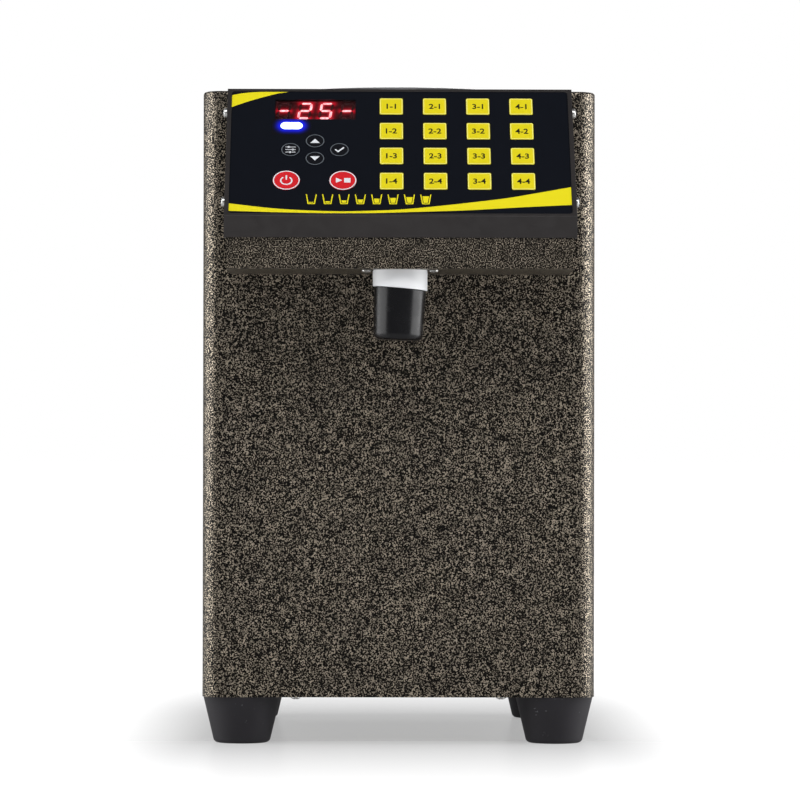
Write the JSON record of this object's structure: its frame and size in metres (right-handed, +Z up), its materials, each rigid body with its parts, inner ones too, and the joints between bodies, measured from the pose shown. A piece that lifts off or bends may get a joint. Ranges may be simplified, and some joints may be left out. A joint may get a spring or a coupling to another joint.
{
  "type": "countertop fructose dispenser",
  "caption": "Countertop syrup dispenser: sheet steel case on rubber feet, sloped keypad head with display, capped nozzle, lidded tank on top and a metering gear pump inside.",
  "frame": {"origin": "under the middle of the whole object, on the surface that it stands on", "axes": "+X to the right as seen from the front, the front faces -Y, +Z up"},
  "size_m": [0.2408, 0.3772, 0.4133],
  "materials": {
    "hammertone": "hammered enamel, dark bronze",
    "rubber": "matte",
    "zinc": "bright zinc plate",
    "bezel_plastic": "fine grained, dark warm grey",
    "overlay_film": "printed glossy film",
    "window": "smoked red",
    "black_plastic": "fine grained",
    "bars_lit": "lit red",
    "bars_dark": "unlit red",
    "lamp": "lit blue",
    "board": "solder mask",
    "yellow_key": "printed glossy film over the key",
    "dark_key": "printed glossy film over the key",
    "red_key": "printed glossy film over the key",
    "stainless": "brushed",
    "grip_plastic": "fine grained",
    "silicone": "translucent white",
    "cast_alloy": "machined",
    "gear_brass": "machined",
    "motor_can": "satin",
    "white_plastic": "moulded, white",
    "red_rocker": "moulded, red",
    "psu_case": "bare sheet"
  },
  "bodies": {
    "root": {"housing": "hammertone", "rear_cover": "hammertone", "base_plate": "hammertone", "feet": "rubber", "foot_screws": "zinc", "case_screws": "zinc", "head_box": "hammertone", "panel_bezel": "bezel_plastic", "head_screws": "zinc", "panel_overlay": "overlay_film", "display_window": "window", "display_module": "black_plastic", "digit_bars_lit": "bars_lit", "digit_bars_dark": "bars_dark", "indicator_lamp": "lamp", "keypad_board": "board", "key_switches": "black_plastic", "tank": "stainless", "tank_outlet": "stainless", "suction_hose": "silicone", "pump_body": "cast_alloy", "pump_cover": "cast_alloy", "pump_motor": "motor_can", "delivery_hose": "silicone", "nozzle_body": "white_plastic", "nozzle_collar": "white_plastic", "power_supply": "psu_case", "control_board": "board", "mains_inlet": "black_plastic", "switch_frame": "black_plastic"},
    "tank_lid": {"tank_lid": "stainless", "lid_grip": "grip_plastic", "lid_seal": "silicone"},
    "nozzle_cap": {"nozzle_cap": "rubber"},
    "switch_rocker": {"switch_rocker": "red_rocker"},
    "pump_drive": {"drive_gear": "gear_brass"},
    "pump_driven": {"driven_gear": "gear_brass"},
    "dose_key_1_1": {"dose_key_1_1": "yellow_key"},
    "dose_key_1_2": {"dose_key_1_2": "yellow_key"},
    "dose_key_1_3": {"dose_key_1_3": "yellow_key"},
    "dose_key_1_4": {"dose_key_1_4": "yellow_key"},
    "dose_key_2_1": {"dose_key_2_1": "yellow_key"},
    "dose_key_2_2": {"dose_key_2_2": "yellow_key"},
    "dose_key_2_3": {"dose_key_2_3": "yellow_key"},
    "dose_key_2_4": {"dose_key_2_4": "yellow_key"},
    "dose_key_3_1": {"dose_key_3_1": "yellow_key"},
    "dose_key_3_2": {"dose_key_3_2": "yellow_key"},
    "dose_key_3_3": {"dose_key_3_3": "yellow_key"},
    "dose_key_3_4": {"dose_key_3_4": "yellow_key"},
    "dose_key_4_1": {"dose_key_4_1": "yellow_key"},
    "dose_key_4_2": {"dose_key_4_2": "yellow_key"},
    "dose_key_4_3": {"dose_key_4_3": "yellow_key"},
    "dose_key_4_4": {"dose_key_4_4": "yellow_key"},
    "key_up": {"key_up": "dark_key"},
    "key_down": {"key_down": "dark_key"},
    "key_set": {"key_set": "dark_key"},
    "key_save": {"key_save": "dark_key"},
    "key_power": {"key_power": "red_key"},
    "key_stop": {"key_stop": "red_key"}
  },
  "joints": [
    {"name": "lid_lift", "type": "slide", "parent": "root", "child": "tank_lid", "axis": [0, 0, 1], "range_m": [0, 0.12]},
    {"name": "cap_pull", "type": "slide", "parent": "root", "child": "nozzle_cap", "axis": [0, 0, -1], "range_m": [0, 0.04]},
    {"name": "rocker_tilt", "type": "hinge", "parent": "root", "child": "switch_rocker", "pos_m": [0.0704, 0.18438, 0.1125], "axis": [1, 0, 0], "range_deg": [0, 20]},
    {"name": "drive_spin", "type": "hinge", "parent": "root", "child": "pump_drive", "pos_m": [-0.012, 0.04138, 0.1105], "axis": [0, -1, 0], "continuous": true},
    {"name": "driven_spin", "type": "hinge", "parent": "root", "child": "pump_driven", "pos_m": [0.012, 0.04138, 0.1105], "axis": [0, -1, 0], "continuous": true},
    {"name": "press_1_1", "type": "slide", "parent": "root", "child": "dose_key_1_1", "axis": [0, 0.741, -0.6715], "range_m": [0, 0.0005], "stiffness_N_per_m": 400},
    {"name": "press_1_2", "type": "slide", "parent": "root", "child": "dose_key_1_2", "axis": [0, 0.741, -0.6715], "range_m": [0, 0.0005], "stiffness_N_per_m": 400},
    {"name": "press_1_3", "type": "slide", "parent": "root", "child": "dose_key_1_3", "axis": [0, 0.741, -0.6715], "range_m": [0, 0.0005], "stiffness_N_per_m": 400},
    {"name": "press_1_4", "type": "slide", "parent": "root", "child": "dose_key_1_4", "axis": [0, 0.741, -0.6715], "range_m": [0, 0.0005], "stiffness_N_per_m": 400},
    {"name": "press_2_1", "type": "slide", "parent": "root", "child": "dose_key_2_1", "axis": [0, 0.741, -0.6715], "range_m": [0, 0.0005], "stiffness_N_per_m": 400},
    {"name": "press_2_2", "type": "slide", "parent": "root", "child": "dose_key_2_2", "axis": [0, 0.741, -0.6715], "range_m": [0, 0.0005], "stiffness_N_per_m": 400},
    {"name": "press_2_3", "type": "slide", "parent": "root", "child": "dose_key_2_3", "axis": [0, 0.741, -0.6715], "range_m": [0, 0.0005], "stiffness_N_per_m": 400},
    {"name": "press_2_4", "type": "slide", "parent": "root", "child": "dose_key_2_4", "axis": [0, 0.741, -0.6715], "range_m": [0, 0.0005], "stiffness_N_per_m": 400},
    {"name": "press_3_1", "type": "slide", "parent": "root", "child": "dose_key_3_1", "axis": [0, 0.741, -0.6715], "range_m": [0, 0.0005], "stiffness_N_per_m": 400},
    {"name": "press_3_2", "type": "slide", "parent": "root", "child": "dose_key_3_2", "axis": [0, 0.741, -0.6715], "range_m": [0, 0.0005], "stiffness_N_per_m": 400},
    {"name": "press_3_3", "type": "slide", "parent": "root", "child": "dose_key_3_3", "axis": [0, 0.741, -0.6715], "range_m": [0, 0.0005], "stiffness_N_per_m": 400},
    {"name": "press_3_4", "type": "slide", "parent": "root", "child": "dose_key_3_4", "axis": [0, 0.741, -0.6715], "range_m": [0, 0.0005], "stiffness_N_per_m": 400},
    {"name": "press_4_1", "type": "slide", "parent": "root", "child": "dose_key_4_1", "axis": [0, 0.741, -0.6715], "range_m": [0, 0.0005], "stiffness_N_per_m": 400},
    {"name": "press_4_2", "type": "slide", "parent": "root", "child": "dose_key_4_2", "axis": [0, 0.741, -0.6715], "range_m": [0, 0.0005], "stiffness_N_per_m": 400},
    {"name": "press_4_3", "type": "slide", "parent": "root", "child": "dose_key_4_3", "axis": [0, 0.741, -0.6715], "range_m": [0, 0.0005], "stiffness_N_per_m": 400},
    {"name": "press_4_4", "type": "slide", "parent": "root", "child": "dose_key_4_4", "axis": [0, 0.741, -0.6715], "range_m": [0, 0.0005], "stiffness_N_per_m": 400},
    {"name": "press_up", "type": "slide", "parent": "root", "child": "key_up", "axis": [0, 0.741, -0.6715], "range_m": [0, 0.0005], "stiffness_N_per_m": 400},
    {"name": "press_down", "type": "slide", "parent": "root", "child": "key_down", "axis": [0, 0.741, -0.6715], "range_m": [0, 0.0005], "stiffness_N_per_m": 400},
    {"name": "press_set", "type": "slide", "parent": "root", "child": "key_set", "axis": [0, 0.741, -0.6715], "range_m": [0, 0.0005], "stiffness_N_per_m": 400},
    {"name": "press_save", "type": "slide", "parent": "root", "child": "key_save", "axis": [0, 0.741, -0.6715], "range_m": [0, 0.0005], "stiffness_N_per_m": 400},
    {"name": "press_power", "type": "slide", "parent": "root", "child": "key_power", "axis": [0, 0.741, -0.6715], "range_m": [0, 0.0005], "stiffness_N_per_m": 400},
    {"name": "press_stop", "type": "slide", "parent": "root", "child": "key_stop", "axis": [0, 0.741, -0.6715], "range_m": [0, 0.0005], "stiffness_N_per_m": 400}
  ],
  "couplings": [
    {"joint": "driven_spin", "follows": "drive_spin", "ratio": -1}
  ]
}
